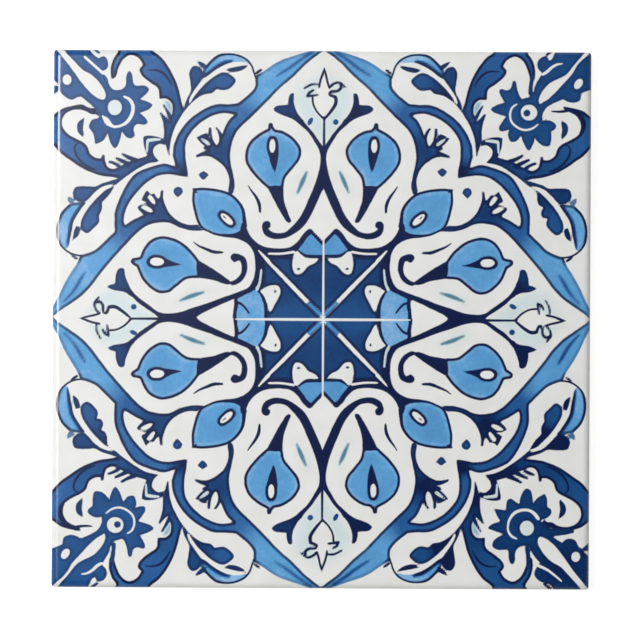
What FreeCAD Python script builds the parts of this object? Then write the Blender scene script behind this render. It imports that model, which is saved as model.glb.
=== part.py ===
"""Glazed wall tile: one square slab of pressed and fired clay.

The decorated face is up, its four edges are rounded over, and the back has shallow
keying grooves for the bedding mortar. Millimetres, +Z out of the face, with the origin
at the centre of the back.
"""

import FreeCAD, Part
import math
import os

import Sketcher

DRIVING_SIZES = {
    "side_length": 152.4,         # edge to edge across the square
    "thickness": 8.0,             # back to face
    "face_edge_radius": 1.8,      # the rounded edge between face and side
    "back_edge_radius": 0.5,      # the eased edge between side and back
    "plan_corner_radius": 0.9,    # the four upright corners, seen from above
    "groove_width": 6.0,          # a keying groove's mouth, in the plane of the back
    "groove_pitch": 12.0,         # from the middle of one groove to the next
    "groove_depth": 0.6,
    "groove_draft": 30.0,         # slope of a groove's walls off the upright, in degrees
    "groove_corner_radius": 1.5,  # the corners of a groove's mouth
    "groove_end_margin": 8.0,     # plain back between a groove's end and the tile's edge
    "groove_side_margin": 7.0,    # the least plain back beside the outermost grooves
}
GROOVE_COUNT = "=floor((side_length - 2 * groove_side_margin - groove_width) / groove_pitch) + 1"

# Sketcher's numbers for the sketch's own origin and axis, and for the points of a line or arc
ORIGIN = (-1, 1)
HORIZONTAL_AXIS = -1
START, END = 1, 2
QUARTER_TURN = math.pi / 2


def make_sheet(doc):
    """The driving dimensions and the number of grooves that they leave room for, one cell each."""
    sheet = doc.addObject("Spreadsheet::Sheet", "sizes")
    cells = {**{alias: str(value) for alias, value in DRIVING_SIZES.items()}, "groove_count": GROOVE_COUNT}
    for row, (alias, content) in enumerate(cells.items(), start=1):
        sheet.set(f"A{row}", alias)
        sheet.set(f"B{row}", content)
        sheet.setAlias(f"B{row}", alias)
    doc.recompute()
    return sheet


def origin_feature(body, role):
    return next(feature for feature in body.Origin.OriginFeatures if feature.Role == role)


def new_sketch(body, name, plane):
    sketch = body.newObject("Sketcher::SketchObject", name)
    sketch.AttachmentSupport = [(origin_feature(body, plane), "")]
    sketch.MapMode = "FlatFace"
    return sketch


def bind(sketch, kind, *where, name, size):
    """Adds a named dimension to a sketch and binds it to an expression of the sheet's cells."""
    start_value = float(sketch.evalExpression(size))
    sketch.addConstraint(Sketcher.Constraint(kind, *where, start_value))
    sketch.renameConstraint(sketch.ConstraintCount - 1, name)
    sketch.setExpression(f"Constraints.{name}", size)


def place_sides(sketch, sides, name, half_width, low, high):
    """Sets the four sides of an upright rectangle: left and right about the middle, low and high by
    expressions. A low of None lies on the sketch's own horizontal axis."""
    bottom, right, top, left = sides
    bind(sketch, "DistanceX", *ORIGIN, right, START, name=f"{name}_right", size=half_width)
    bind(sketch, "DistanceX", left, START, *ORIGIN, name=f"{name}_left", size=half_width)
    bind(sketch, "DistanceY", *ORIGIN, top, START, name=f"{name}_high", size=high)
    if low is None:
        sketch.addConstraint(Sketcher.Constraint("PointOnObject", bottom, START, HORIZONTAL_AXIS))
    else:
        bind(sketch, "DistanceY", bottom, START, *ORIGIN, name=f"{name}_low", size=low)


def add_sides(sketch, ends):
    """Four lines, anticlockwise from the bottom, each between its two ends, kept level or upright."""
    sides = [sketch.addGeometry(Part.LineSegment(*pair), False) for pair in ends]
    for side, direction in zip(sides, ("Horizontal", "Vertical", "Horizontal", "Vertical")):
        sketch.addConstraint(Sketcher.Constraint(direction, side))
    return sides


def corner_points(sketch, half_width, low, high):
    """The corners of a rectangle, anticlockwise from bottom left, at the sheet's values."""
    x = float(sketch.evalExpression(half_width))
    y_low = 0.0 if low is None else -float(sketch.evalExpression(low))
    y_high = float(sketch.evalExpression(high))
    return [FreeCAD.Vector(*xy, 0) for xy in ((-x, y_low), (x, y_low), (x, y_high), (-x, y_high))]


def plain_rectangle(sketch, name, half_width, low, high):
    corners = corner_points(sketch, half_width, low, high)
    sides = add_sides(sketch, zip(corners, corners[1:] + corners[:1]))
    for side, following in zip(sides, sides[1:] + sides[:1]):
        sketch.addConstraint(Sketcher.Constraint("Coincident", side, END, following, START))
    place_sides(sketch, sides, name, half_width, low, high)


def rounded_rectangle(sketch, name, half_width, low, high, low_radius, high_radius):
    """A rectangle whose two low corners and two high corners are tangent arcs of those radii."""
    corners = corner_points(sketch, half_width, low, high)
    radii = [low_radius, low_radius, high_radius, high_radius]
    reaches = [float(sketch.evalExpression(radius)) for radius in radii]
    ends = []
    for i, corner in enumerate(corners):
        following = (i + 1) % len(corners)
        along = (corners[following] - corner).normalize()
        ends.append((corner + along * reaches[i], corners[following] - along * reaches[following]))
    sides = add_sides(sketch, ends)
    for i, (corner, reach) in enumerate(zip(corners, reaches)):
        inward = corners[(i + 2) % len(corners)] - corner
        centre = corner + FreeCAD.Vector(math.copysign(reach, inward.x), math.copysign(reach, inward.y), 0)
        start_angle = math.pi + i * QUARTER_TURN
        circle = Part.Circle(centre, FreeCAD.Vector(0, 0, 1), reach)
        arc = sketch.addGeometry(Part.ArcOfCircle(circle, start_angle, start_angle + QUARTER_TURN), False)
        sketch.addConstraint(Sketcher.Constraint("Tangent", sides[i - 1], END, arc, START))
        sketch.addConstraint(Sketcher.Constraint("Tangent", arc, END, sides[i], START))
        bind(sketch, "Radius", arc, name=f"{name}_corner_{i}", size=radii[i])
    place_sides(sketch, sides, name, half_width, low, high)


def press_slab(body):
    """The square slab with its four upright corners rounded."""
    sketch = new_sketch(body, "plan_outline", "XY_Plane")
    half_side = "sizes.side_length / 2"
    corner = "sizes.plan_corner_radius"
    rounded_rectangle(sketch, "plan", half_side, half_side, half_side, corner, corner)
    slab = body.newObject("PartDesign::Pad", "slab")
    slab.Profile = sketch
    slab.setExpression("Length", "sizes.thickness")


def ease_edges(body, name, plane):
    """Cuts away all that lies outside the tile's cross-section, along one pair of edges: the face's
    edges are rounded over, and the back's edges are eased."""
    sketch = new_sketch(body, f"{name}_section", plane)
    rounded_rectangle(
        sketch, "section", "sizes.side_length / 2", None, "sizes.thickness",
        "sizes.back_edge_radius", "sizes.face_edge_radius",
    )
    plain_rectangle(sketch, "clear_of_slab", "sizes.side_length", "sizes.thickness", "2 * sizes.thickness")
    cut = body.newObject("PartDesign::Pocket", name)
    cut.Profile = sketch
    cut.Type = "ThroughAll"
    cut.Midplane = True
    return cut


def key_back(doc, body):
    """Shallow straight grooves across the back, evenly spaced about its middle, stopped short of
    the tile's edges. Their walls slope, so that the slab leaves its die."""
    sketch = new_sketch(body, "groove_outline", "XY_Plane")
    sketch.setExpression("AttachmentOffset.Base.x", "-(sizes.groove_count - 1) / 2 * sizes.groove_pitch")
    half_length = "sizes.side_length / 2 - sizes.groove_end_margin"
    corner = "sizes.groove_corner_radius"
    rounded_rectangle(sketch, "mouth", "sizes.groove_width / 2", half_length, half_length, corner, corner)
    groove = body.newObject("PartDesign::Pocket", "keying_groove")
    groove.Profile = sketch
    groove.Reversed = True
    groove.setExpression("Length", "sizes.groove_depth")
    groove.setExpression("TaperAngle", "-sizes.groove_draft")
    doc.recompute()

    grooves = body.newObject("PartDesign::LinearPattern", "keying_grooves")
    grooves.Originals = [groove]
    grooves.Direction = (origin_feature(body, "X_Axis"), [""])
    grooves.setExpression("Length", "(sizes.groove_count - 1) * sizes.groove_pitch")
    grooves.setExpression("Occurrences", "sizes.groove_count")
    body.Tip = grooves
    return [groove, grooves]


def check(doc, body, cuts):
    """Stops before anything is written if a feature failed, a cut removed nothing or the solid is bad."""
    for item in doc.Objects:
        if {"Invalid", "Error"} & set(item.State):
            raise RuntimeError(f"{item.Name} failed: {item.State}")
    for cut in cuts:
        if cut.Shape.Volume >= cut.BaseFeature.Shape.Volume:
            raise RuntimeError(f"{cut.Name} removed nothing")
    if body.Shape.isNull() or not body.Shape.isValid() or len(body.Shape.Solids) != 1:
        raise RuntimeError(f"{body.Label} is not one valid solid")


def main():
    doc = FreeCAD.newDocument("wall_tile")
    make_sheet(doc)
    body = doc.addObject("PartDesign::Body", "tile")
    body.Label = "tile"
    press_slab(body)
    doc.recompute()
    cuts = [ease_edges(body, "edges_along_y", "XZ_Plane"), ease_edges(body, "edges_along_x", "YZ_Plane")]
    doc.recompute()
    cuts += key_back(doc, body)
    doc.recompute()
    check(doc, body, cuts)
    os.makedirs("parts", exist_ok=True)
    body.Shape.exportStep(f"parts/{body.Label}.step")
    box = body.Shape.BoundBox
    print(f"{body.Label}: {box.XLength:.3f} x {box.YLength:.3f} x {box.ZLength:.3f} mm, {body.Shape.Volume:.1f} mm3")


main()
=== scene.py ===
"""The glazed wall tile as it looks: its moulded body, the painted face and bare clay back, on a pale floor.

One mesh stands for the tile. Its face is a fine grid, and the ornament is drawn on that grid by listed
curves: each point of the grid carries its distance to the edge of the nearest paint, and the material turns
these distances into washes, blues and dark lines. Metres, in the construction's own frame.
"""

import bpy
import numpy as np
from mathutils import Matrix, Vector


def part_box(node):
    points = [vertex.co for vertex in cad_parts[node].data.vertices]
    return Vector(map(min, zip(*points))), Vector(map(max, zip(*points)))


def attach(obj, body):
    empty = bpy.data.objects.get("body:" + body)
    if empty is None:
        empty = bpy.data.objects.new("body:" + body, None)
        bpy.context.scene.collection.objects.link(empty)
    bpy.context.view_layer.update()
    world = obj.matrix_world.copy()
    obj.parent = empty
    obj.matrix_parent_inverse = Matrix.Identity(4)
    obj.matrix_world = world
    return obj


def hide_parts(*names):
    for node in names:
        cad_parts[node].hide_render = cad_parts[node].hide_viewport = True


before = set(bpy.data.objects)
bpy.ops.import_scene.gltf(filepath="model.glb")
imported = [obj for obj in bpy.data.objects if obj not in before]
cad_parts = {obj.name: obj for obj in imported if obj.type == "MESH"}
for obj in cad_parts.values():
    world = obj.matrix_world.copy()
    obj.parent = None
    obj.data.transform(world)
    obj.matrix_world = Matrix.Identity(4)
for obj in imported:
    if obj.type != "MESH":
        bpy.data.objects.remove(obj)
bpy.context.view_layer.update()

MM = 0.001
low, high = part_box("tile")

# the tile's body, in millimetres
HALF = (high[0] - low[0]) / 2 / MM  # half the tile's side
THICKNESS = (high[2] - low[2]) / MM
FACE_EDGE = 1.8  # radius of the rounded edge round the face
BACK_EDGE = 0.5  # radius of the eased edge round the back
BACK_LOOPS = (90, 60, 30)  # angles of the loops round that edge, in degrees
PLAN_CORNER = 0.9  # radius of the upright corners
FACE_CELLS = 300  # grid cells across the face
PRINT_DROP = 1.0  # how far the print runs down the sides
SHARP_ANGLE = 35  # an edge that turns by more degrees is shaded as sharp

# the keying grooves in the back, in millimetres
GROOVE_CENTRES = np.arange(-66.0, 67.0, 12.0)
GROOVE_HALF_WIDTH = 3.0
GROOVE_HALF_LENGTH = 68.2
GROOVE_CORNER = 1.5
GROOVE_DEPTH = 0.6
GROOVE_SLOPE = 0.3464  # how far a groove's wall leans in over its depth
WALL_LEAST = 0.05  # the foot of a wall stays at least this far inside its lip
LINE_SLACK = 0.01  # a grid line this little past a groove's foot still counts as in the groove
BACK_LINES = (20.0, 40.0)  # grid lines across the grooves, out from the middle
CORNER_LINES = (66.7, 67.2, 67.6)  # grid lines through the grooves' end corners
MARGIN_LINES = np.array([0.9, 0.4, 0.0])  # grid lines beside the back's edge, in from it

# the map for baking: the shell unrolled in a square, and the back in a strip beside it
MAP_MARGIN = 0.01
SHELL_SIDE = 0.86
STRIP_MIDDLE = np.array([0.93, 0.5])
STRIP_HALF = np.array([0.05, 0.48])
UNROLLED_EDGE = 4.0  # how far out the back's eased edge lies when unrolled, in millimetres
UNROLLED_RIM = 4.2  # and how far out the back's border

# the ornament, in design units
DESIGN_HALF = 100  # units in half the tile's side
REACH = 4.0  # distances are worked out this far from a shape
CURVE_STEPS = 7  # points along each span of a curve
EDGES_AT_ONCE = 64  # how many of an outline's edges are measured together
STROKE_MARGIN = 1.0  # how much further a stroke is measured, for its width
TONE_HOLD = 0.75  # how far a tone or a wash holds beyond its paint's edge
UNDERLAP = 0.3  # how far inlaid blue runs under the dark about it
THIN_HOLD = 0.5  # a thin line's half width holds this far beside its edge
THIN_FALL = 2.0  # and then falls so many times as fast as the distance grows
SIDE_FALL = 2.0  # how far the paint draws back on the way down the sides
AXIS_CELLS = 1  # how many grid cells the ornament's upright axis stands right of the middle
LILY_TIP = 94  # the height of the tip that a lily's points are drawn for
PAINTED_SHADE_FROM, PAINTED_SHADE_OVER, PAINTED_SHADE_MOST = 40, 80, 1.2  # where the painted shade on the dark blues begins, its way and its limit
# the quarters of the ornament: (right half, upper half), the drawing's shift outwards, its stretch, the kind
# of its daisy, the heights of its two lilies' tips, and how much painted shade deepens its dark blues
# towards the corner, most in the lower right away from the key light; below zero it is painted light
QUARTERS = [
    ((False, True), (0.2, -0.3), (0.994, 0.996), "pointed", (94, 90), -0.08),
    ((True, True), (1.2, -0.2), (0.985, 0.996), "round", (94, 90.8), 0.15),
    ((False, False), (0.0, -1.1), (0.993, 1.0), "round", (94.8, 90), 0.0),
    ((True, False), (1.6, -1.3), (0.98, 0.996), "fingered", (94.8, 90.8), 0.45),
]
# the layers of the ornament, each with its value where there is no paint and its change down the sides
LAYERS = {
    "blue_edge": (REACH, SIDE_FALL), "line_edge": (REACH, SIDE_FALL), "teal_edge": (REACH, SIDE_FALL),
    "dark_side": (REACH, 0.0), "dark_half": (-REACH, -SIDE_FALL),
    "bare_side": (REACH, 0.0), "bare_half": (-REACH, -SIDE_FALL),
    "blue_tone_and_shade": (0.0, 0.0), "rim": (0.0, 0.0), "wash": (0.0, 0.0),
}

# the finish: widths in design units, heights in metres
PAINT_SOFT = 0.22  # half the width of a paint's soft edge
TEAL_SOFT = 0.4
RIM_INNER, RIM_OUTER = -1.4, -0.75  # where a blue's dark rim begins, and where it is full
GLAZE_END, GLAZE_FULL = 0.0028, 0.0034  # the heights between which the glaze runs out on the sides
GLAZE_WAVE = 0.003  # how much the line where it ends goes up and down
GLAZE_ROUGHNESS, CLAY_ROUGHNESS = 0.2, 0.85
WAVE_STRENGTH, WAVE_DEPTH = 0.05, 0.001  # of the soft waves in the glaze
EDGE_SWING, CLOUD_SWING, GRAIN_SWING = 0.3, 0.2, 0.12  # what the noises do to the edges and the blues' tone
# the noises: (scale, detail)
GRAIN, CLOUD, EDGE_NOISE, CLAY_NOISE, WAVE_NOISE = (900, 3), (140, 3), (500, 2), (400, 5), (60, 1)
# the colours as seen on a screen, most of them as stops of (place on its scale, colour)
GROUND = [(0.3, (243, 243, 241)), (0.7, (250, 250, 249))]
WASHES = [(0.0, (244, 244, 243)), (0.4, (222, 236, 240)), (1.0, (150, 186, 216))]
BLUES = [
    (0.0, (214, 228, 240)), (0.08, (180, 207, 236)), (0.25, (97, 165, 219)), (0.55, (38, 93, 156)),
    (0.78, (20, 71, 126)), (0.92, (10, 54, 108)), (1.0, (6, 28, 74)),
]
NAVY = [(0.3, (6, 22, 66)), (0.7, (10, 29, 76))]
TEAL = (84, 134, 154)
CLAY = [(0.3, (214, 204, 188)), (0.7, (230, 222, 208))]

# the studio, in metres
FLOOR_HALF = 3.0
FLOOR_GAP = 0.0001  # the floor lies this far under the tile
FLOOR_WHITE = (244, 244, 244)
FLOOR_ROUGHNESS = 0.9
FLOOR_GLOW = 0.78
GLOW_LOW, GLOW_HIGH = 0.44, 0.02  # the light of the surroundings at the horizon and overhead
LIGHTS = [  # name, place, size and power
    ("key", (-0.37, 0.11, 0.75), 0.3, 5.9), ("overhead", (-0.45, 0.45, 2.0), 1.0, 2.8),
]
CAMERA_PLACE = (0.0002, -0.00068, 1.0208)
CAMERA_TURN = 0.3  # degrees
CAMERA_SENSOR, CAMERA_LENS = 36.0, 200.0  # millimetres


def curve(points, closed=False):
    """Points along a smooth curve. Each span is a cubic from point to point, and its time is the root of its
    chord's length. The slope at a point is that of its two chords, each weighted by the other's time."""
    points = np.asarray(points, float)
    if len(points) < 3 and not closed:
        return points
    if closed:
        padded = np.concatenate([points[-1:], points, points[:2]])
    else:
        padded = np.concatenate([2 * points[:1] - points[1:2], points, 2 * points[-1:] - points[-2:-1]])
    chord = np.diff(padded, axis=0)
    time = np.linalg.norm(chord[:, :2], axis=1, keepdims=True) ** 0.5
    time = np.maximum(time, 1e-6)
    rate = chord / time
    slope = (rate[:-1] * time[1:] + rate[1:] * time[:-1]) / (time[:-1] + time[1:])
    start, end = padded[1:-2], padded[2:-1]
    span = time[1:-1]
    share = (np.arange(CURVE_STEPS) / CURVE_STEPS)[:, None, None]
    ease = share * share * (3 - 2 * share)
    leave = share * (1 - share) ** 2
    arrive = share * share * (share - 1)
    line = start + (end - start) * ease + span * (slope[:-1] * leave + slope[1:] * arrive)
    line = line.transpose(1, 0, 2).reshape(-1, points.shape[1])
    return line if closed else np.concatenate([line, points[-1:]])


class Panel:
    """One quarter of the face: u runs outwards from the upright axis and v from the level axis, 0 to 100.
    Every layer has a value at each point of the grid. blue, ink and teal are the distance to that paint's
    edge, less than zero inside. tone is the blue's depth, rim the strength of its dark edge, and wash that of
    the pale wash. axes is where the face's two axes, the first lines of its grid, stand in the drawing."""

    def __init__(self, u, v):
        self.u, self.v = u, v
        self.axes = u[0, 0], v[0, 0]
        self.blue = np.full(u.shape, REACH)
        self.ink = np.full(u.shape, REACH)
        self.teal = np.full(u.shape, REACH)
        self.tone = np.zeros(u.shape)
        self.rim = np.zeros(u.shape)
        self.wash = np.zeros(u.shape)
        # thin lines, dark and bare: the signed distance to the nearest one's middle, its half width, and the
        # distance to its edge
        self.dark = [np.full(u.shape, empty) for empty in (REACH, -REACH, REACH)]
        self.bare = [np.full(u.shape, empty) for empty in (REACH, -REACH, REACH)]

    def near(self, line, margin=0.0):
        """Which points of the grid are near a line: those in the box round it, grown by the reach."""
        least = line[:, :2].min(0) - REACH - margin
        most = line[:, :2].max(0) + REACH + margin
        return (self.u > least[0]) & (self.u < most[0]) & (self.v > least[1]) & (self.v < most[1])

    def area(self, *runs):
        """The distance to a closed outline, less than zero inside. Each run of points is a smooth curve, and
        runs meet in corners. A single run is a smooth loop. The distance is the least one to the outline's
        short edges. A point is inside where a level ray from it crosses the outline an odd number of
        times."""
        if len(runs) == 1:
            line = curve(runs[0], closed=True)
        else:
            pieces = []
            corner = []
            for run in [*runs[:-1], [*runs[-1], runs[0][0]]]:
                points = [*corner, *run]
                pieces.append(curve(points)[:-1] if len(points) > 1 else np.asarray(points, float))
                corner = [run[-1]]
            line = np.concatenate(pieces)
        near = self.near(line)
        place = np.stack([self.u[near], self.v[near]], 1)
        starts, ends = line, np.roll(line, -1, 0)
        real = np.abs(ends - starts).sum(1) > 1e-9
        starts, ends = starts[real], ends[real]
        least = np.full(len(place), REACH ** 2)
        inside = np.zeros(len(place), bool)
        for first in range(0, len(starts), EDGES_AT_ONCE):
            start, end = starts[first:first + EDGES_AT_ONCE], ends[first:first + EDGES_AT_ONCE]
            edge = end - start
            away = place[:, None, :] - start
            share = ((away * edge).sum(2) / (edge ** 2).sum(1)).clip(0, 1)
            off = away - share[..., None] * edge
            least = np.minimum(least, (off ** 2).sum(2).min(1))
            spans = (start[:, 1] > place[:, 1:2]) != (end[:, 1] > place[:, 1:2])
            with np.errstate(divide="ignore", invalid="ignore"):
                crossing = start[:, 0] + (place[:, 1:2] - start[:, 1]) * edge[:, 0] / edge[:, 1]
            inside ^= (spans & (place[:, :1] < crossing)).sum(1) % 2 == 1
        distance = np.full(self.u.shape, REACH)
        distance[near] = np.where(inside, -1, 1) * np.sqrt(least)
        return distance

    def beside(self, points, margin=0.0):
        """Measures the grid from a line through points of (u, v, width): which of the grid's points are near
        it, and for each, by the line's nearest step, the signed distance across the line, the distance past
        the step's ends, half the width there, and the distance to the line's edge."""
        line = curve(points)
        near = self.near(line, margin)
        place = np.stack([self.u[near], self.v[near]], 1)
        start, step = line[:-1], np.diff(line, axis=0)
        length = np.linalg.norm(step[:, :2], axis=1)
        way = step[:, :2] / length[:, None]
        away = place[:, None, :] - start[:, :2]
        along = (away * way).sum(2)
        across = away[..., 0] * way[:, 1] - away[..., 1] * way[:, 0]
        on_line = along.clip(0, length)
        half = (start[:, 2] + step[:, 2] * on_line / length) / 2
        past = np.abs(along - on_line)
        gap = np.hypot(across, past) - half
        pick = np.arange(len(place)), gap.argmin(1)
        return near, across[pick], past[pick], half[pick], gap[pick]

    def stroke(self, *points):
        """The distance to the edge of a stroke through points of (u, v, width), less than zero inside."""
        near, _, _, _, gap = self.beside(points, STROKE_MARGIN)
        distance = np.full(self.u.shape, REACH)
        distance[near] = np.minimum(gap, REACH)
        return distance

    def ellipse(self, centre, radii, turn=0.0):
        """About the distance to an ellipse turned by some degrees, less than zero inside: how far a point is
        past the edge, as a share of the way from the centre, over how fast that share grows there."""
        cosine, sine = np.cos(np.radians(turn)), np.sin(np.radians(turn))
        right, up = self.u - centre[0], self.v - centre[1]
        along, across = right * cosine + up * sine, up * cosine - right * sine
        share = np.hypot(along / radii[0], across / radii[1])
        growth = np.hypot(along / radii[0] ** 2, across / radii[1] ** 2)
        return np.minimum((share - 1) * share / np.maximum(growth, 1e-6), REACH)

    def fade(self, start, end, from_tone, to_tone):
        """A tone that runs from one at the start point to another at the end point, eased at both."""
        start, end = np.array(start, float), np.array(end, float)
        way = end - start
        share = ((self.u - start[0]) * way[0] + (self.v - start[1]) * way[1]) / (way ** 2).sum()
        share = share.clip(0, 1)
        return from_tone + (to_tone - from_tone) * share * share * (3 - 2 * share)

    def fill(self, distance, tone, rim=0.0):
        """Blue paint inside a distance of zero. Its tone and the strength of its dark rim reach a cell
        further out, so that they hold right up to the edge."""
        over = (distance < 0) | ((distance < TONE_HOLD) & (self.blue > 0))
        self.blue = np.minimum(self.blue, distance)
        self.tone = np.where(over, tone, self.tone)
        self.rim = np.where(over, rim, self.rim)

    def inlay(self, distance, tone, rim=0.0):
        """Blue paint in place of dark, a little under the dark's new edge."""
        self.fill(distance - UNDERLAP, tone, rim)
        self.ink = np.maximum(self.ink, -distance)

    def line(self, distance):
        """Dark paint inside a distance of zero."""
        self.ink = np.minimum(self.ink, distance)

    def thin(self, layer, *points):
        """A line finer than the grid's cells, through points of (u, v, width). Its signed distance runs
        evenly across the line, so that it stays whole between the grid's points. Past its ends and far beside
        it its half width falls."""
        near, side, past, half, gap = self.beside(points)
        half = half - past
        half = half - THIN_FALL * np.maximum(np.abs(side) - half - THIN_HOLD, 0)
        closer = gap < layer[2][near]
        for stored, value in zip(layer, (side, half, gap)):
            stored[near] = np.where(closer, value, stored[near])

    def shade(self, distance, tone, soft=0.5):
        """Another tone on blue that is there already, with a soft edge."""
        share = ((soft - distance) / (2 * soft)).clip(0, 1)
        self.tone = self.tone + (tone - self.tone) * share

    def daub(self, centre, radius, tone):
        """A soft round touch of another tone."""
        share = np.hypot(self.u - centre[0], self.v - centre[1]) / radius
        self.tone = self.tone + (tone - self.tone) * np.clip(1 - share * share, 0, 1) ** 2

    def reserve(self, distance, tint=0.0):
        """Bare ground left through all the paint, with some of the pale wash on it."""
        self.blue = np.maximum(self.blue, -distance)
        self.ink = np.maximum(self.ink, -distance)
        self.wash = np.where(distance < TONE_HOLD, tint, self.wash)

    def veil(self, distance, tint, soft=3.0):
        """Pale wash with a wide soft edge."""
        share = ((soft - distance) / (2 * soft)).clip(0, 1)
        self.wash = np.maximum(self.wash, tint * share * share * (3 - 2 * share))


# in the painters below, p is the panel, and an outline's points are (u, v)
def paint_ribbons(p):
    """The two ribbons from the sides' middles to the diagonal, with the bands and calyxes that they split
    into."""
    top = p.area(
        [(0, 102.5), (6.5, 100), (15, 97.1), (18.5, 95.2), (21, 93.4), (24.9, 91.3)],
        [(24.9, 89.5), (25, 87.2), (27, 84.5), (31.5, 80.8)],
        [(35, 80.5), (40, 80.3), (45, 78), (50, 74.2), (53.5, 69.5), (55.3, 65), (55.7, 61.2)],
        [(55.2, 59.5), (54.5, 57.1)], [(49.8, 53.2)],
        [(50.1, 56), (50.9, 61), (50.6, 66.5), (48.5, 70.3), (45, 73.7), (41, 76), (37, 77.1), (32.5, 76.6)],
        [(34.5, 74.8), (36, 72.3), (37.3, 69.1)], [(38, 70.6), (39.2, 72)], [(40, 71.7)],
        [(39, 70.2), (38.3, 67.5), (39.1, 65.2), (40.3, 66.6), (41, 69), (41.2, 71.8)], [(42.2, 71.8)],
        [(42.3, 69.8), (41.9, 68)], [(43, 69.6), (45, 69), (46.6, 68)], [(45.5, 66.8), (43.4, 64.9)],
        [(44.5, 64.5)], [(44, 63.7), (42.6, 63.1)], [(44.5, 62.6), (47, 61.4)], [(47, 60.5)],
        [(44.5, 61), (42, 60.9), (38.5, 59), (36, 56.5), (34.5, 52.5), (34.9, 48)], [(34.5, 46.5)],
        [(33, 47.2)],
        [(32.4, 50), (33.2, 55), (34.2, 60.5), (33.5, 66), (31.5, 70.5), (26, 76), (20.5, 81.5),
         (15.5, 86.7), (10.5, 91), (5.5, 96), (0.3, 100), (-3, 102.5)],
    )
    left = p.area(
        [(102.5, 1.5), (100, 5), (98, 8.7), (96, 13), (93.3, 17.6), (91.2, 20.9), (90, 24)],
        [(88, 24.4), (84, 26.2), (81, 29), (77.2, 32.7)],
        [(77.3, 36), (77.2, 40), (75.5, 45), (73, 50), (70, 54), (66, 56.2), (62, 57.5), (58.5, 58.2),
         (54.6, 57.1)],
        [(52.7, 58.5)], [(50.9, 56)], [(49.8, 53.1)],
        [(53, 53.6), (57, 54.2), (61, 53.6), (65, 51.3), (68, 48.4), (70.8, 45), (73, 41), (73.8, 37),
         (73.4, 35.2)],
        [(70, 37.3), (66.4, 39.1)], [(67.4, 40), (68.4, 41)], [(68.9, 42)], [(67, 43), (65, 43.2)],
        [(66, 43.9), (67.3, 44.5)], [(66.4, 46.4), (65.4, 48.4)], [(64, 47.1), (62.4, 46.9)],
        [(61.5, 45.6), (60.6, 44.8)], [(60.3, 46.6), (60, 48.3)], [(59, 48.2)],
        [(59.1, 45.5), (58.6, 43.5), (56.8, 39.8), (54, 37.2), (50, 35.5), (46.2, 35.4)], [(43.5, 33.3)],
        [(48, 33.2), (52.5, 34.2), (56.5, 36), (60.5, 36.2), (64.5, 35.3), (68, 33), (72, 29), (76, 24.6),
         (80, 20), (83, 16.2), (86, 12.2), (90, 8.2), (94, 5.4), (98, 2.7), (102.5, -0.5)],
    )
    top_rim = np.maximum(p.fade((9, 97.5), (6.5, 95), 0.35, 0.9), p.fade((21, 93.5), (23.5, 90.5), 0, 0.9))
    p.fill(top, p.fade((22, 86), (31, 77), 0.26, 0.53), top_rim)
    left_rim = np.maximum(p.fade((96, 10), (92.5, 7), 0.35, 0.9), p.fade((92, 19), (91, 23), 0, 0.9))
    p.fill(left, p.fade((83, 22.5), (72, 33), 0.26, 0.53), left_rim)
    # all round the bands and calyxes the rim is dark again
    bands_from = 33
    in_bands = (p.u > bands_from) & (p.v > bands_from)
    p.rim = np.where(in_bands & (p.rim > 0), 0.9, p.rim)
    p.daub((38, 63), 12, 0.88)
    p.daub((61, 40), 13, 0.88)
    p.daub((51.6, 55.4), 6.5, 1.0)
    p.shade(p.stroke((3.5, 100, 0.9), (8, 97.2, 1.1), (12, 94.2, 1), (16.8, 91.2, 0.5)), 0.62, 0.4)
    p.shade(p.stroke((96, 6.6, 0.5), (93.3, 9.5, 0.8), (91.5, 12, 1.1), (90, 14.6, 1.1), (88.4, 17.2, 0.6)),
            0.62, 0.4)
    # the pale petals in the calyxes
    p.thin(p.dark, (46.5, 68, 0.7), (45.5, 66.9, 0.8), (44, 65.5, 0.9), (43, 64.8, 0.9))
    p.reserve(p.area([(45.4, 67.9), (43, 66.9), (41.6, 65.5), (42.3, 65), (43.7, 65.8)]), 0.5)
    p.reserve(p.area([(65, 45.9), (64, 46.4), (63, 45.6), (62, 43.3), (62.5, 42.9), (64.2, 44.5)]))
    p.reserve(p.area([(67.6, 42), (66.5, 42.4), (65, 42.2), (62.9, 40.4), (63.5, 40), (65, 40.3),
                      (66.5, 41.1)]))


def pointed_daisy(p):
    """The outline of the pointed daisy with its two-lobed stem, petal by petal."""
    return p.area(
        [(103, 103)], [(86.5, 103)], [(86.7, 100.2), (85, 98.4), (83.5, 97.3)],
        [(81.5, 98.2), (80.1, 96.4), (80.3, 93.5), (82.6, 92.4)],
        [(80.3, 90), (79.5, 87.5), (78, 85.8), (75, 85.8), (73.5, 87), (73.2, 90.5), (72.3, 92.7),
         (71.2, 92), (70, 87.5), (66, 87.2), (64.6, 85.9), (65.5, 84.3), (68, 82.1)],
        [(65.5, 81.4), (63, 80.1)], [(64.5, 78.5), (68, 77)],
        [(65.8, 75.1), (65, 73.4), (66.2, 72.7), (69.3, 72.8), (70.3, 71.2), (69.9, 68.6), (71.2, 67.5),
         (73, 68), (74.7, 70.1)],
        [(75.1, 68), (76.3, 64.7), (77.4, 63.8), (78.7, 65.3), (80.1, 69.4)], [(81.6, 66.7), (84.7, 65.1)],
        [(85.3, 69), (87, 71.6), (86, 74.3), (83, 75.2)], [(84.6, 78.5)], [(87, 80.6), (90, 83)],
        [(91.2, 82.8), (93.5, 81.8), (96, 82.9), (98.2, 85.2)], [(102, 82.8)], [(102, 87.5)], [(97.9, 86.8)],
        [(102, 91.8)],
    )


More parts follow.
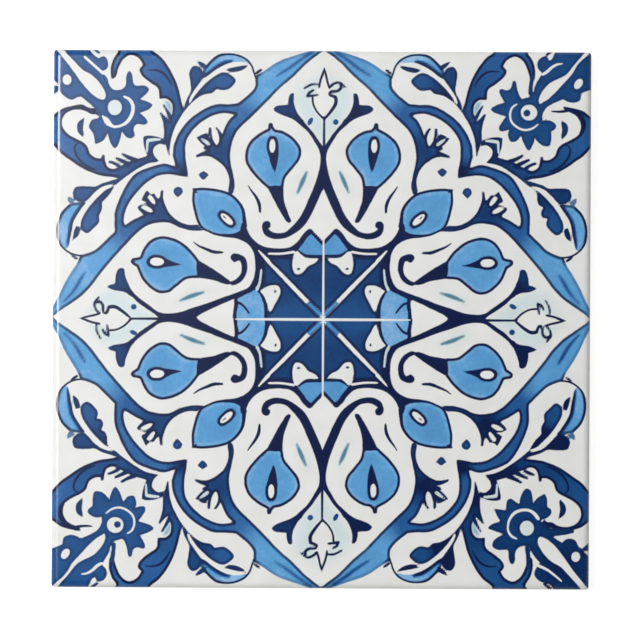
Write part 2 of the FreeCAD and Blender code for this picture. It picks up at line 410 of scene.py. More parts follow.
def round_daisy(p):
    """The outline of the rounder daisy, which is in two of the corners."""
    return p.area(
        [(103, 103)], [(88, 103)], [(86, 99.4), (85.3, 97.9), (84.2, 97.2)],
        [(83.4, 98.6), (82, 98.8), (80.3, 97.6), (79.7, 96), (80.2, 94), (81.6, 92.6)],
        [(80.6, 90.8), (79.4, 88.8), (78.7, 87), (78.5, 85.6)], [(76.2, 85.2)], [(77.4, 84.1), (74, 82.9)],
        [(73.2, 84), (72.3, 86.5), (71.8, 89), (71.2, 89.9), (70.5, 89.3), (69.7, 86.7), (68.1, 86.1),
         (66.5, 86.6), (65.5, 86.3), (65.5, 85.2), (66.3, 83.4), (67.4, 81.6)],
        [(64.1, 80.4), (62.3, 79.1), (63.1, 78), (65.6, 77), (68, 76.3)],
        [(66.8, 74.6), (65.4, 72.4), (65.7, 71), (67.1, 70.8), (69.3, 71.4)],
        [(68.8, 69.8), (69.4, 67.4), (70.2, 66.8), (72.1, 67.2), (73.8, 69.2)],
        [(74.4, 67), (76.7, 63.5), (78.5, 66.4), (79, 68.4)],
        [(80.1, 66.9), (82.1, 65.4), (84.5, 65.4), (85.1, 67), (85.2, 70.8)],
        [(86.6, 71.7), (87.1, 72.9), (86.1, 74.2), (84.1, 75), (81.9, 74.8)],
        [(81.7, 76.4), (83.1, 79.4), (85.1, 80.8), (87.6, 82), (89.6, 82.8)],
        [(91.1, 82), (93.6, 81.5), (95.9, 82.5), (96.4, 85)], [(98, 85.7), (102, 88)],
    )


def fingered_daisy(p):
    """The outline of the daisy with finger petals."""
    return p.area(
        [(103, 103)], [(86.8, 103)], [(86.8, 101.3), (85.9, 100), (84.5, 99.2), (83.4, 99.2)],
        [(82, 98.6), (80.8, 97.8), (79.6, 96.2), (79.9, 94.2), (81, 92.7)], [(81.7, 91.6)],
        [(79.7, 89.4), (78.3, 87.2), (77.3, 85.6), (76, 85.3), (73.8, 85.9), (72.5, 87.5), (72.2, 91.1),
         (71.2, 92.3), (70.1, 91.1), (69.7, 87.3)],
        [(69.3, 86.8)], [(65.5, 86.8), (63.6, 85.5), (64.1, 83.4), (66.1, 81.9), (68, 81)],
        [(64.1, 79.7), (62, 78.7), (63.6, 77.2), (66.7, 76.3)], [(65.3, 74.1), (64.2, 71.6)],
        [(66.4, 71.7), (68.7, 72.1)], [(68.8, 70.2), (69.3, 68.2), (70.6, 67.7), (72.3, 68.8), (74, 69.9)],
        [(74, 68), (74.8, 65.7), (76.3, 63.9), (78, 64.6), (78.8, 67.1), (79.1, 69.4)],
        [(80.3, 67.7), (83.4, 65.7)], [(84.3, 67.7), (84.4, 70.5)],
        [(85.9, 71.9), (85.9, 73.4), (84.3, 74.9), (82, 75.6)], [(82.3, 76.6)], [(84.6, 78.4), (86.2, 81.5)],
        [(88, 82.8), (90.2, 84.1)], [(91.1, 83), (93, 82.5), (95.3, 83.3), (96.4, 85.5), (97.7, 86.2)],
        [(102, 82.8)], [(102, 87.5)], [(97.9, 86.8)], [(102, 91.8)],
    )


def light_stem(p):
    """The white band along the stem of the pointed and the fingered daisy, and the round spot beside it."""
    p.reserve(p.area(
        [(102, 103.5), (97.5, 98.3), (94, 94), (90, 88.5), (87, 85), (83.5, 82.4), (81.4, 82), (80.9, 84),
         (83, 88), (86, 91), (89.5, 93), (92.5, 96), (96.5, 100.3), (98.5, 103)],
        [(100, 105)],
    ))
    p.reserve(p.ellipse((95.3, 89.3), (1.65, 1.9)))


def light_pointed(p):
    """The ground left bare in the pointed daisy."""
    light_stem(p)
    p.thin(p.bare, (88.8, 97.9, 0.9), (86, 95.4, 1), (83.5, 93.2, 1), (81.8, 91.7, 1.2))
    p.reserve(p.ellipse((77.4, 79), (2.6, 2.85)), 0.25)
    p.thin(p.bare, (74, 83.1, 0.8), (72.4, 82.4, 1.1), (70.9, 80.6, 1.3), (70.6, 78, 1.3), (71.5, 75.4, 1.3),
           (73.2, 73.3, 1.2), (75.5, 72.1, 0.9), (77.8, 71.9, 1.1), (79.4, 72.8, 1.9), (80.8, 74.6, 2),
           (81.9, 75.7, 1))


def light_fingered(p):
    """The ground left bare in the fingered daisy."""
    p.fill(p.stroke((77.2, 93.3, 1.4), (77.3, 89.7, 1.7), (76.8, 86, 1.7)), 0.68, 0.5)
    light_stem(p)
    p.thin(p.bare, (89.9, 98.4, 0.6), (87.4, 96.3, 0.8), (84.5, 94.2, 0.9), (80.8, 92.5, 1.1))
    p.reserve(p.ellipse((76.7, 78.7), (2.65, 2.75)), 0.25)
    p.thin(p.bare, (72.9, 82.7, 0.6), (71.2, 81.9, 0.9), (69.8, 80.2, 0.8), (69.5, 78.3, 0.7),
           (70.1, 75.5, 0.9), (72.1, 73, 1.1), (75.5, 71.9, 1), (78.3, 72.4, 1.1), (80, 73.8, 1.3),
           (81, 75.2, 1.3))


def light_round(p):
    """The ground left bare in the round daisy and its stem, and the dot in its eye."""
    p.reserve(p.area(
        [(102, 102.8), (98.7, 99.3), (96, 97), (94.3, 94.8), (93, 92.5), (89, 88), (87, 85.8), (84, 83),
         (82, 81.7)],
        [(80.7, 80.9)],
        [(80.4, 82.5), (81.3, 85), (83, 87.3), (85.2, 89.2), (89, 91), (91, 92.3), (93.6, 95.5),
         (97.8, 100.5), (99, 103)],
        [(100, 105)],
    ))
    p.fill(p.stroke((77.8, 91, 1.6), (77.4, 88, 1.6), (77.2, 85, 1.6)), 0.68, 0.5)
    p.reserve(p.ellipse((95.3, 88.6), (2.1, 1.4), 55))
    p.thin(p.bare, (89.2, 96.1, 0.5), (87.2, 95.8, 0.8), (85, 94.5, 1), (83.4, 93, 1.1), (81.6, 92, 1))
    p.reserve(p.ellipse((76.7, 77.8), (3.1, 2.9)), 0.1)
    p.fill(p.ellipse((75.9, 77.6), (1.3, 1.3)), 0.68, 0.5)
    p.thin(p.bare, (72.2, 81, 0.5), (70.5, 79.8, 0.7), (69.6, 77.5, 0.75), (70, 74.6, 0.8), (72, 72.5, 0.8),
           (75, 71.3, 0.75), (78, 71.9, 0.7), (80.2, 73.5, 0.5))


# each kind of daisy: its outline, and what is left bare in it
DAISIES = {
    "pointed": (pointed_daisy, light_pointed), "round": (round_daisy, light_round),
    "fingered": (fingered_daisy, light_fingered),
}


def paint_leaves(p, daisy):
    """The daisy, the two acanthus leaves beside it and the stems that join them, as one body of paint."""
    top_leaf = p.area(
        [(77.5, 102), (76.3, 100), (78, 97.2), (79, 93.5), (78.5, 89.6), (77.2, 90.4), (76, 93.8),
         (74.3, 97), (71.5, 98.6), (68.5, 97.4), (66.9, 95)],
        [(68.2, 93.3), (67.5, 91.2), (64, 88.2), (61.3, 86.2), (60.8, 82.3)],
        [(58, 82.3), (56.2, 80.7), (55.8, 78.5), (56, 76.6)], [(54, 74.5)], [(51.8, 78.7)],
        [(52.6, 82), (54, 87.3), (56.5, 92.8), (60, 97.7), (63.5, 100.5), (64, 102)],
    )
    top_stem = p.area(
        [(49.2, 80.4), (51.5, 77.5), (54.5, 72.5), (56.1, 68), (56.7, 64), (56.8, 61.2)], [(57.3, 61.3)],
        [(58.1, 64.4)], [(59, 67.5)], [(59, 71), (59.5, 74), (60.7, 77.2)], [(60, 77.4)],
        [(58.4, 75.6), (56.9, 74.2)], [(58.2, 77.2), (59.7, 80.2)], [(59, 80.5)],
        [(57.4, 78.2), (56.2, 76.3)], [(54.5, 80.5)], [(51.8, 78.7)], [(50.8, 80.6)],
    )
    left_leaf = p.area(
        [(102, 75), (99.5, 76.8), (97, 78.5), (93, 79.6), (89.5, 80.1), (87.5, 79.1), (84.6, 78.4)],
        [(82, 77)], [(83.2, 75.5)],
        [(84.5, 76.4), (86, 76.4), (88.3, 77.6), (91, 78.2), (95, 77.2), (97, 74.5), (96.8, 71.5),
         (94.7, 69), (91.5, 67.2), (89, 65.9), (87.6, 64.5), (86.5, 61.7), (84.3, 60.2), (82.2, 60.1)],
        [(82.2, 61.4)], [(81.1, 61.4)], [(80.8, 59), (80, 57), (78, 56.1), (76.2, 56.6)], [(74, 55)],
        [(75.8, 52.6)],
        [(78, 53), (82, 53.5), (86, 54.7), (90, 56.6), (94, 59.3), (97.5, 61.8), (100, 64.6), (102, 67)],
    )
    left_stem = p.area(
        [(76.8, 50.2), (74, 52.5), (70, 55.3), (65.5, 57.9), (60.6, 59)],
        [(62.6, 61.3), (62.9, 63.6), (60.7, 65.5), (58.3, 65)], [(59, 67.3)],
        [(62, 68.3), (65, 68.6), (66.8, 68.2)], [(66.5, 65), (65.1, 61)], [(68, 60.2), (70.8, 59.5)],
        [(72.6, 58)], [(74.5, 57.4)], [(76.5, 56.6)], [(77, 54.5)], [(75.8, 52.6)], [(77.5, 51.4)],
        [(78.3, 49.8)],
    )
    fingers = np.minimum.reduce([
        p.stroke((79.3, 58.8, 1), (77.8, 58.3, 1.2), (75.8, 57.3, 1.2)),
        p.stroke((76.7, 60.1, 1), (74.5, 59.1, 1.4), (72, 57.8, 1.8)),
        p.stroke((74.4, 61.7, 1), (72.2, 60.5, 1.4), (69.5, 59.4, 1.8)),
    ])
    p.fill(top_leaf, p.fade((66, 97), (55, 80), 0.55, 0.7), 1.0)
    p.fill(left_leaf, p.fade((97, 70), (80, 56), 0.55, 0.7), 1.0)
    outline, light = DAISIES[daisy]
    if daisy == "round":
        p.reserve(p.ellipse((85.6, 78.2), (4.6, 2.6)))
        p.fill(p.stroke((96, 69.5, 1), (97, 72, 1.5), (96.8, 74.6, 1.6), (95, 77.2, 1.5), (92, 78.4, 0.8)),
               0.6, 1.0)
        p.thin(p.dark, (91.3, 78.6, 1.2), (88.5, 78.2, 1), (85.3, 78.3, 0.6))
    if daisy == "fingered":
        p.fill(p.stroke((94, 79.8, 1.4), (90.2, 80.1, 2.4), (86.5, 80.2, 2.8), (84, 79.6, 2.8)), 0.68, 0.5)
    p.fill(outline(p), 0.7, 0.35)
    p.fill(top_stem, p.fade((57, 66), (54, 78), 0.86, 0.72), 0.7)
    p.fill(left_stem, p.fade((66, 60), (77, 54), 0.86, 0.72), 0.7)
    p.fill(fingers, 0.9, 0.7)
    p.thin(p.dark, (65.5, 93, 0.4), (62, 93, 0.75), (59.5, 92, 0.9), (57.5, 89.8, 0.85), (56, 87.3, 0.4))
    p.thin(p.dark, (90.5, 66, 0.4), (92.2, 64.6, 0.7), (92, 62, 0.8), (89.5, 58.4, 0.9), (86, 56.3, 0.75),
           (84, 55.8, 0.4))
    p.fill(p.area([(88.6, 75.4), (91.2, 73.2), (91.3, 70.2), (89, 67.5)], [(88.9, 69), (89.2, 71.5)]),
           0.72, 0.6)
    p.fill(p.stroke((85.6, 101.2, 1.2), (83.4, 99.5, 1)), 0.9)
    light(p)
    # pale touches in the pockets of the leaves
    p.veil(p.area([(58.7, 81.7), (57, 81.2), (56, 79.5), (56.2, 76.8), (57.4, 78.4)]), 1.0, 0.8)
    p.thin(p.bare, (60.4, 67.2, 0.8), (62.5, 67.1, 1.1), (65, 66.8, 1.2))
    p.thin(p.bare, (65.1, 67, 0.9), (65.2, 65, 0.8), (65.3, 62.4, 0.6))
    p.veil(p.stroke((60.4, 67.2, 1), (65, 67, 1)), 0.7, 1.2)
    p.veil(p.stroke((65, 67, 1), (65.3, 62.4, 1)), 0.7, 1.2)
    p.veil(p.stroke((76.3, 58.6, 0.8), (72, 58.2, 0.8)), 0.7, 0.8)


def paint_sprigs(p, daisy):
    """The sprig in each outer bay: a light leaf, a dark club, a drop-shaped leaf and the white stalk
    between."""
    # the top sprig
    p.fill(p.area(
        [(45.2, 89.6), (44.6, 92.5), (44, 94.2), (41.5, 96.9), (38.5, 99), (33, 99.3), (28, 97.6),
         (26.3, 95.6)],
        [(30, 96.2), (33.5, 96.1), (36.5, 95), (39, 93.5), (42, 91.3)],
    ), p.fade((42, 95), (36, 98), 0.27, 0.17), p.fade((37.5, 95), (33.5, 96.5), 0.8, 0))
    p.shade(p.stroke((44.8, 90.4, 1.4), (42, 92.2, 1.4), (39, 94.4, 1.5), (36.5, 95.8, 1.5),
                     (34.2, 96.4, 1.2)), 0.9, 0.35)
    p.thin(p.dark, (43, 94.2, 0.7), (42, 95.7, 0.75), (40, 97.8, 0.75), (37.5, 98.9, 0.75), (33, 99, 0.75),
           (30, 98.1, 0.75), (27.7, 96.6, 0.75), (26.2, 94.6, 0.75), (25.4, 92.2, 0.75), (25, 91.2, 0.75),
           (24.7, 90, 0.7))
    p.fill(p.area([(36.2, 93.5), (32, 94.5), (27.3, 95.2)], [(29, 93.7), (31, 92.8), (34, 92.4)]), 0.85, 0.6)
    p.fill(p.area(
        [(51.6, 79), (51.1, 81), (50.2, 83), (49, 85.6), (49.3, 89), (49.6, 92.5), (48, 94.7), (45.5, 94),
         (43.8, 91)],
        [(45.6, 88.5), (47.6, 85.6), (49.1, 82.8), (49.6, 80.5)],
    ), 0.8, 0.6)
    p.fill(p.area(
        [(47, 96.7), (45.5, 96.3), (44.2, 95.7), (43, 94.9)], [(42.8, 93.2)], [(44.5, 93.8), (46.2, 95.4)],
    ), 0.85, 0.4)
    p.fill(p.area(
        [(50.6, 79), (47.8, 83.3), (45, 86.7), (40, 91), (36.5, 92.4), (33.5, 91), (32.2, 89.3),
         (33.5, 87.2), (36, 85.7), (39.5, 86)],
        [(41, 84.6), (44, 84), (47, 82.3)],
    ), p.fade((45, 86), (37, 89), 0.88, 0.62), 0.7)
    p.thin(p.bare, (49.4, 81.2, 0.8), (48.7, 82.9, 1), (47.3, 85.1, 1.1), (45, 87.9, 1.1), (42, 90.7, 1.2),
           (39, 93, 1.2), (36.5, 94.3, 1.2), (33, 95.3, 1.1), (30, 95.6, 0.8))
    p.line(p.stroke((24.6, 92, 1), (23.4, 92.9, 1.1), (22.6, 93.4, 0.8)))
    # the left sprig
    p.fill(p.area(
        [(93.6, 43.3), (97, 40), (98.7, 36), (98.9, 32), (98, 28.2), (96, 25.8)],
        [(94.6, 26.9), (93.8, 30), (93.2, 33), (92.4, 36.7), (90.7, 39.7), (89.2, 41.9), (88, 43.6)],
    ), p.fade((92, 42), (97, 34), 0.27, 0.2), p.fade((95, 27), (95, 30), 0, 0.8))
    p.shade(p.stroke((88.9, 43.2, 1.2), (91.2, 40, 1.4), (93, 36.9, 1.4), (93.7, 34, 1.4), (94.2, 30, 1.2),
                     (94.6, 27, 0.6)), 0.85, 0.4)
    p.thin(p.dark, (94, 42.7, 0.7), (96.8, 39.6, 0.75), (98.2, 36, 0.75), (98.6, 32, 0.75),
           (97.8, 28.6, 0.75), (96, 26.2, 0.75), (93.5, 24.5, 0.75), (91, 23.8, 0.75), (89.4, 23.7, 0.7))
    p.fill(p.area([(91.8, 34.9), (90.2, 34.2), (90.8, 31.2), (93, 29.3)], [(92.7, 31.5)]), 0.85, 0.6)
    p.fill(p.area(
        [(93, 47), (92, 49.2), (87, 49.6), (84.5, 49.5), (82, 50.7), (79.5, 51.5), (75.8, 52.7)],
        [(75.3, 52)], [(77.5, 50.6), (80, 50), (82.5, 49), (84.8, 47.2), (87, 44.8)],
        [(88.6, 43.6), (90, 43.7), (92.4, 45)],
    ), 0.8, 0.6)
    p.fill(p.area([(94.9, 46), (93.3, 45.2), (91.8, 44.2)], [(93.6, 42.9)], [(94.7, 44)]), 0.2, 0.6)
    # the drop-shaped leaf's inner edge has deeper lobes beside a round daisy
    if daisy == "round":
        lobes = [[(77.8, 49.6), (79.6, 48), (79.9, 45)], [(80.6, 43.4), (82.2, 42.4)],
                 [(81.4, 40.6), (82, 38.7), (83.8, 38.3)], [(83.4, 36.1), (84.9, 33.7)]]
    else:
        lobes = [[(77.4, 49.6), (79.3, 46.4), (82, 43.6)], [(82, 41), (83.1, 38.8)], [(83, 36.2), (85, 34)]]
    lobes[-1] += [(87.5, 32), (89.6, 33.4), (89.8, 36.5), (86.6, 42.2), (82.2, 46.9), (80.1, 48.6)]
    p.fill(p.area(*lobes), p.fade((82, 45), (86, 37), 0.88, 0.62), 0.7)
    p.thin(p.bare, (78.5, 49.8, 0.7), (80, 49.4, 1), (82, 48.5, 1.1), (84.5, 46.4, 1.2), (86.6, 43.9, 1.2),
           (89.2, 40.2, 1.3), (91.2, 37.2, 1.4), (92.2, 35.1, 1.2), (92.6, 33.4, 0.9))
    p.line(p.stroke((93.4, 24.2, 0.8), (92.3, 23.2, 1.1), (91.2, 22.5, 0.9)))


def paint_buds(p, daisy):
    """The almond bud on the diagonal, with its eye, and the two dots in the white petals."""
    bud = p.area(
        [(46.9, 48.1), (44, 48.3), (38.2, 47.6), (34.4, 46.3), (31.4, 43.8), (29.7, 41), (29.5, 38),
         (29.8, 35.2), (30.3, 33.3)],
        [(32.5, 32.3), (36, 32), (39.5, 32.4), (41.7, 33.3), (44.4, 35)],
        [(45.6, 37.2), (46.5, 40.2), (47.3, 44), (47.2, 47.4)],
    )
    eye = p.ellipse((35.3, 37.6), (2.9, 1.15), 42)
    about_eye = 1.6
    p.inlay(bud, 0.28, np.where(eye < about_eye, 1.0, 0.0))
    p.thin(p.dark, (47.6, 48.6, 1), (44, 48.8, 1), (38.1, 48.1, 1), (34.2, 46.8, 1), (31.1, 44.1, 1.1),
           (29.3, 41.1, 1.2), (28.8, 38, 1.4), (28.6, 34.7, 2))
    p.thin(p.dark, (47.7, 48.3, 0.9), (47.8, 44, 1), (47, 40.1, 1), (46, 36.8, 1), (44.6, 34.4, 1),
           (42.2, 33.1, 0.8), (39.5, 32, 0.9), (35.5, 31.5, 1.1), (31.2, 32, 1.2), (29, 33.4, 1.6))
    # it is paler along its edge
    p.shade(np.maximum(-bud - 1.1, bud), 0.2, 0.7)
    p.reserve(eye)
    p.thin(p.dark, (36.7, 38.8, 0.4), (35.9, 38.1, 0.45), (35.4, 37.7, 0.3))
    p.line(p.stroke((29.2, 35.6, 1.5), (29.5, 33.2, 1.5)))
    p.line(p.stroke((48, 48.8, 0.8), (46.9, 48.3, 1.2)))
    lift = 1.4 if daisy == "round" else 0.0
    p.fill(p.area([(46.2, 54.2 + lift), (44.1, 55.6 + lift)], [(42, 54.2 + lift)], [(44.2, 52.2 + lift)]),
           0.6, 0.6)
    p.fill(p.area(
        [(53.7, 45.5), (55, 46.9), (55.3, 48.2), (54.5, 49.3), (53.4, 49.6), (52.2, 49), (51.7, 47.7)],
        [(52.4, 46.7)],
    ), 0.6, 0.6)


def paint_centre(p):
    """The dark square in the middle with its white bands, droplets and petals, and the dark ground round
    it."""
    p.line(p.area(
        [(28.5, 36), (26.8, 32), (24.5, 29.3), (21, 27.4), (15, 26.8), (11.5, 27.4), (8.8, 29.4),
         (6.5, 32.5), (4.2, 34.2), (2, 32.3), (-1, 29.2)],
        [(-1, -1)], [(33, -1)], [(33, 1), (32.5, 5.5), (32.5, 8)], [(31, 10.3)],
        [(27.2, 12.2), (25.2, 15.5), (24.6, 20.5), (25.4, 25.5), (27.5, 28.3), (31, 30.2), (37, 31)],
        [(36, 32.5)], [(30, 34)],
    ))
    square = p.area(
        [(-1, 23.4)], [(19.3, 23.4)], [(21.3, 21.6)], [(21.3, 13)], [(19.8, 2)], [(19.8, -1)], [(-1, -1)],
    )
    p.inlay(square, p.fade((8, 12), (8, 1), 0.86, 0.72), 0.8)
    petals = np.minimum(
        p.area(
            [(3.3, 32.4), (5, 31.1), (6.5, 29), (8.7, 26.2)], [(7.3, 24.8), (3, 24.4), (-1, 24.4)],
            [(-1, 27.8)], [(1.2, 30.1)],
        ),
        p.area(
            [(31.2, 8), (27, 10), (23.9, 11.6)], [(22.2, 8.3), (21.2, 4.5), (21.3, -1)], [(31.4, -1)],
            [(31.4, 3), (30.9, 5.5)],
        ),
    )
    p.inlay(petals, p.fade((8, 26), (22, 8), 0.31, 0.22))
    p.thin(p.dark, (31.7, 6.6, 1), (30, 6.1, 1), (28.5, 4.8, 0.9), (26.8, 2.6, 0.7))
    p.thin(p.dark, (4.3, 33.4, 0.9), (2, 31.1, 1), (0.3, 29.3, 1), (-1.5, 27.6, 1))
    # the bands and droplets, each with a dark line about it
    band = p.area(
        [(23.2, 25.9), (20.5, 23.2), (15, 18), (10, 13), (5, 7.9), (-1, 2.4)], [(-1, -0.2)],
        [(5.5, 6.2), (10, 10.9), (15, 16.1), (20.5, 22)],
    )
    top_drop = p.area(
        [(10, 25.5), (10.7, 20.3), (9.6, 17.3), (7.4, 17.5), (4.8, 20.2), (2.2, 21.5), (0.8, 23.1)],
        [(6, 23.4), (8.6, 25.6)],
    )
    left_drop = p.area(
        [(22.9, 10.9), (19, 12.9), (15.8, 12.6), (15.2, 10.3), (17.2, 6), (19, 3.1), (20, 6)], [(21.2, 8.8)],
    )
    p.reserve(np.minimum(top_drop, left_drop), 0.05)
    p.reserve(band)
    # the inner ends of the bands are blue, as far as a line square across them
    blue_until = 11.5
    inner_end = np.maximum(band, (p.u + p.v - blue_until) / 2 ** 0.5)
    p.fill(inner_end, 0.78)
    p.shade(inner_end + 0.1, 0.27, 0.7)
    p.thin(p.bare, (23.4, 26, 0.5), (21.5, 23.9, 1), (19.5, 21.8, 1.3))
    p.thin(p.dark, (23.6, 11.2, 0.7), (21.8, 8.8, 0.9), (20.6, 5.6, 1), (20.4, 2, 1), (20.4, -1, 1))
    p.thin(p.dark, (8.7, 26.1, 0.6), (7.2, 24.9, 0.9), (5.4, 24.1, 0.9), (2, 23.9, 0.9), (-2, 23.9, 0.9))
    p.thin(p.bare, (10, 25.5, 0.9), (15, 24.8, 0.8), (19.6, 24.8, 0.7))
    p.thin(p.bare, (22.3, 18.9, 0.7), (22.5, 17, 0.8), (23, 13.6, 0.9), (24, 11.4, 1.3))
    p.veil(p.stroke((22.3, 18.9, 1), (22.9, 14, 1)), 0.8, 1.2)
    p.veil(p.stroke((22.9, 14, 1), (24, 11.4, 1.4)), 0.8, 1.2)
    p.line(p.ellipse((8.4, 19.1), (0.75, 0.5)))
    p.line(p.ellipse((17.1, 10.7), (0.5, 0.7)))
    # the printed joints on both axes, strongest in the middle
    u, v = p.axes
    p.thin(p.bare, (u, v - 1, 0.8), (u, v + 12, 0.75), (u, v + 31, 0.6))
    p.thin(p.bare, (u - 1, v, 1), (u + 20, v, 0.9), (u + 33, v, 0.4))


def paint_bells(p):
    """The two bell flowers: a thick outline that ends in a hook, and a light drop with an eye and a dark
    tail."""
    top_outline = p.area(
        [(9, 73.7), (8, 72.8), (5, 70), (2.6, 66.4), (0.8, 63), (0.4, 60), (1.2, 55), (2.8, 50), (5, 44.8),
         (7.5, 39.3), (10.7, 35.2), (13.5, 32.9), (17.5, 32.6), (20, 34)],
        [(18.9, 35), (19.3, 36.6), (20.6, 37), (21.9, 36.2), (22.2, 34.6), (21.2, 31.9), (18, 30.3),
         (14, 30.5), (10.5, 32), (7, 34.6), (4.8, 37.5), (2.2, 42.7), (-0.5, 48.8), (-2, 52.2)],
        [(-2, 63)], [(0.8, 66.6), (3, 69.8), (6, 73.3), (7.5, 75.2)],
    )
    left_outline = p.area(
        [(71.2, 11.6), (70, 9.9), (66.5, 7), (63.5, 4.9), (60.7, 2.9), (57.5, 2.3), (52.5, 2.9), (47.5, 4.6),
         (42.5, 6.2), (37.5, 8.1), (32.5, 9.9), (28, 11.6)],
        [(24.3, 11.6)], [(28, 9.6), (33, 7.6), (37, 5.9), (41, 4), (45, 2), (48.5, -1)], [(59, -1)],
        [(61.7, 1.7), (64.5, 3.6), (68, 6), (70.7, 8.5), (72, 9.4)],
    )
    left_hook = p.area([
        (33.9, 23.3), (33, 24.7), (31, 24.7), (28.4, 23.3), (27.5, 20.3), (28, 17), (30, 14.2), (33, 12.9),
        (34.3, 13.9), (31.8, 15.2), (29.9, 17.6), (29.8, 20.7), (30.6, 22.2), (32.4, 21.5),
    ])
    p.line(np.minimum.reduce([top_outline, left_outline, left_hook]))
    top_drop = p.area(
        [(20, 71.5), (24, 69.2), (27, 66.3), (28.5, 62.5), (28.3, 58.8), (26.2, 55.2), (23, 51.7), (20, 49)],
        [(17, 48.8), (14.2, 49.4)],
        [(13.5, 53), (11, 56.3), (8.3, 59.8), (7.6, 63.5), (9.5, 67), (12, 69.2), (15, 70.7), (17.2, 71.1)],
        [(18, 72), (18.6, 73.5), (19.8, 73.4)],
    )
    left_drop = p.area(
        [(45.5, 22), (48.5, 25.8), (52, 28.8), (56, 30.6), (60, 31.1), (63.8, 29.6), (66.2, 26.8),
         (67.7, 23.4)],
        [(69, 23.1), (70.6, 22.8), (71.2, 21.5), (70, 20.2), (68.9, 19.6)],
        [(67, 15.3), (64, 11.9), (60.5, 9.9), (56.8, 10.2), (53.5, 12.7), (50.2, 15.1), (45, 15.6)],
        [(45.5, 19)],
    )
    drops = np.minimum(top_drop, left_drop)
    p.fill(drops, 0.27, 1.0)
    # they are paler along their edges
    p.shade(np.maximum(-drops - 1.9, drops), 0.2, 0.9)
    p.line(np.minimum(
        p.area(
            [(20.3, 49.7), (17.5, 44.3), (14.5, 39), (12.4, 36.3), (11.2, 36.6), (12.3, 39.7), (13.9, 44.5),
             (14.2, 49.7)],
            [(17, 50.2)],
        ),
        p.area([(46, 22.3), (41, 19.4), (36, 16), (33.3, 13.8), (35, 13.2), (40, 14.7), (45.5, 15.6)],
               [(46.4, 19)]),
    ))
    # the eyes
    p.line(p.area(
        [(17.5, 54.7), (16.5, 58.5), (16.1, 64), (17, 68), (18.6, 68.6), (20.1, 67.3), (20.3, 63.5),
         (19.2, 59)],
        [(18.5, 57)],
    ))
    p.line(p.area(
        [(51.4, 20.5), (55, 20), (60, 19.4), (64.3, 19.7), (65.3, 21.4), (63.5, 23.8), (60, 23.7),
         (56.5, 22.1)],
        [(54.5, 21.3)],
    ))
    p.reserve(p.ellipse((18.4, 65), (1.15, 2.65)))
    p.reserve(p.area([(64.1, 21.6), (63, 22.9), (60, 22.9), (58.6, 21.7), (59.4, 20.4), (62.7, 20.2)]))
    # the accent lines and teal touches in the white of the bells
    p.thin(p.dark, (27.4, 50.1, 0.4), (26, 48, 0.8), (24.5, 46, 1.1), (23.2, 43.2, 1.3), (22.9, 40.2, 0.9))
    p.thin(p.dark, (47.8, 29, 0.4), (45.6, 27.5, 0.8), (43, 26.4, 1.1), (40, 25.3, 1.3), (36.8, 25.2, 0.9))
    touches = np.minimum(
        p.stroke((5.5, 55.3, 0.8), (7, 52, 1.6), (8.9, 47.5, 0.8)),
        p.stroke((52.6, 7.1, 0.8), (48, 9, 1.6), (43.8, 10.3, 0.8)),
    )
    p.teal = np.minimum(p.teal, touches)
    p.veil(touches, 0.35)


def paint_forks(p):
    """The forked leaf over each bell."""
    p.fill(p.area(
        [(10.4, 84.9), (11.8, 84.4), (12.5, 82.5), (12.7, 80.4)],
        [(17, 79.9), (18.1, 78.7), (17, 77.5), (11, 75), (8, 73)], [(6.7, 74.1)], [(9.3, 77.8), (10.4, 81)],
    ), p.fade((12, 80), (8.5, 75.5), 0.9, 1.0), 0.4)
    p.fill(p.area(
        [(80.3, 12.1), (78.5, 13), (77, 13.3)],
        [(76.7, 16.5), (75.5, 19), (73.7, 19), (73.2, 16.5), (71, 11.3), (69.6, 9.6)], [(70.4, 8.4)],
        [(73.5, 10.2), (77.5, 10.9)],
    ), p.fade((75.5, 14.5), (71.5, 10.5), 0.88, 1.0), 0.4)


